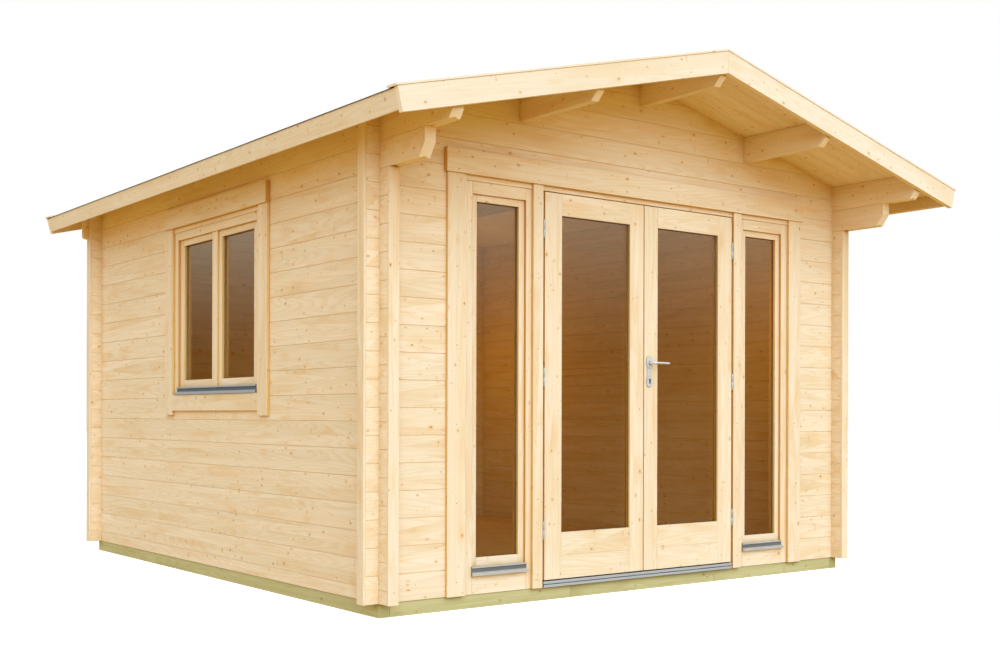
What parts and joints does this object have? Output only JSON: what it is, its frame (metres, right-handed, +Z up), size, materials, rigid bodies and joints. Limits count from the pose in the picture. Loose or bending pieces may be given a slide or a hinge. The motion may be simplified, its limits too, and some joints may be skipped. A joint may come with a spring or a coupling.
{
  "type": "garden chalet",
  "caption": "Log-built garden chalet with a low gable roof, deep front overhang on purlins, glazed double door with lever handle, tall sidelights and a side window.",
  "frame": {"origin": "ground level under the middle of the roof's plan", "axes": "+X right along the front, +Y from the door to the back wall, +Z up"},
  "size_m": [3.9618, 4.489, 2.7901],
  "materials": {
    "spruce": "planed, untreated",
    "treated": "pressure treated",
    "floorwood": "planed",
    "felt": "matte bitumen felt",
    "glass": "clear",
    "aluminium": "mill",
    "steel": "brushed"
  },
  "bodies": {
    "chalet": {"back_wall": "spruce", "barge_boards": "spruce", "barge_caps": "spruce", "door_posts": "spruce", "door_stops": "spruce", "eave_fascias": "spruce", "end_wall_end_strips": "spruce", "floor": "floorwood", "floor_joists": "treated", "foundation_end_beams": "treated", "foundation_side_beams": "treated", "frame_head": "spruce", "frame_hinges": "steel", "front_casing_boards": "spruce", "front_gable": "spruce", "front_head_board": "spruce", "front_wall_left": "spruce", "front_wall_right": "spruce", "left_wall": "spruce", "middle_purlins": "spruce", "ridge_purlin": "spruce", "right_wall": "spruce", "roof_boards_left": "spruce", "roof_boards_right": "spruce", "roofing_felt_left": "felt", "roofing_felt_right": "felt", "side_wall_end_strips": "spruce", "sidelight_drip_rails": "aluminium", "sidelight_frames": "spruce", "sidelight_glass": "glass", "sidelight_sashes": "spruce", "threshold": "aluminium", "window_casing": "spruce", "window_drip_rail": "aluminium", "window_frame": "spruce", "window_glass": "glass", "window_sashes": "spruce"},
    "left_door": {"left_door_glass": "glass", "left_door_hinges": "steel", "left_door_rails": "spruce", "left_door_stiles": "spruce"},
    "right_door": {"right_door_glass": "glass", "right_door_handle_plates": "steel", "right_door_hinges": "steel", "right_door_rails": "spruce", "right_door_stiles": "spruce"},
    "lever": {"lever_handle": "steel"}
  },
  "joints": [
    {"name": "left_door_hinge", "type": "hinge", "parent": "chalet", "child": "left_door", "pos_m": [-0.698, -1.6345, 1.136], "axis": [0, 0, -1], "range_deg": [0, 110]},
    {"name": "right_door_hinge", "type": "hinge", "parent": "chalet", "child": "right_door", "pos_m": [0.698, -1.6345, 1.136], "axis": [0, 0, 1], "range_deg": [0, 110]},
    {"name": "lever_turn", "type": "hinge", "parent": "right_door", "child": "lever", "pos_m": [0.039, -1.6135, 1.228], "axis": [0, 1, 0], "range_deg": [0, 40], "stiffness_Nm_per_rad": 1.5, "springref_deg": -45.84}
  ]
}
